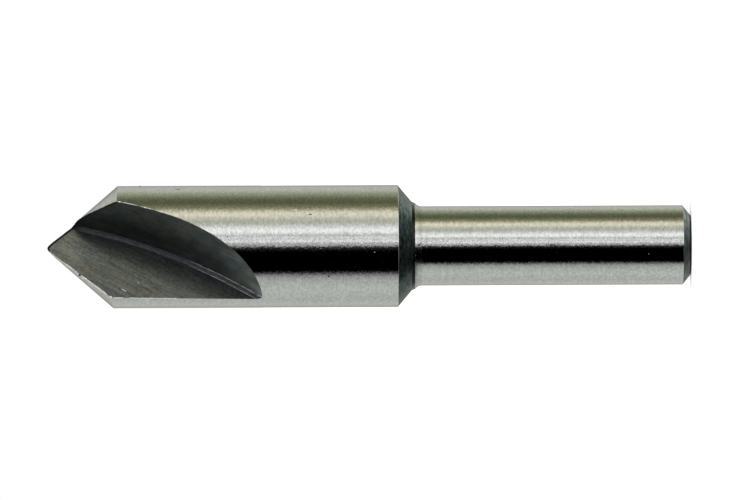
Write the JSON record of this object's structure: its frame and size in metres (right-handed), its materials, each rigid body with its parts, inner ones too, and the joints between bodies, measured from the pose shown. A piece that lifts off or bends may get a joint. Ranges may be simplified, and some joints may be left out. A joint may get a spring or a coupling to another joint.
{
  "type": "countersink bit",
  "caption": "Single-flute countersink bit with a wide ground body, a relieved 82 degree cutting point and a plain round shank for a drill chuck.",
  "frame": {"origin": "centre of the flat end of the shank, on the bit's axis, where the bit stands", "axes": "+Z runs along the bit's axis from the shank to the point; the rake face of the flute looks towards -Y and the cutting edge is on the -X side"},
  "size_m": [0.0098, 0.0098, 0.0514],
  "materials": {
    "tool_steel": "cylindrically ground bright steel, with the flute, neck and shank end left dark from hardening"
  },
  "bodies": {
    "root": {"countersink_bit": "tool_steel"}
  },
  "joints": []
}
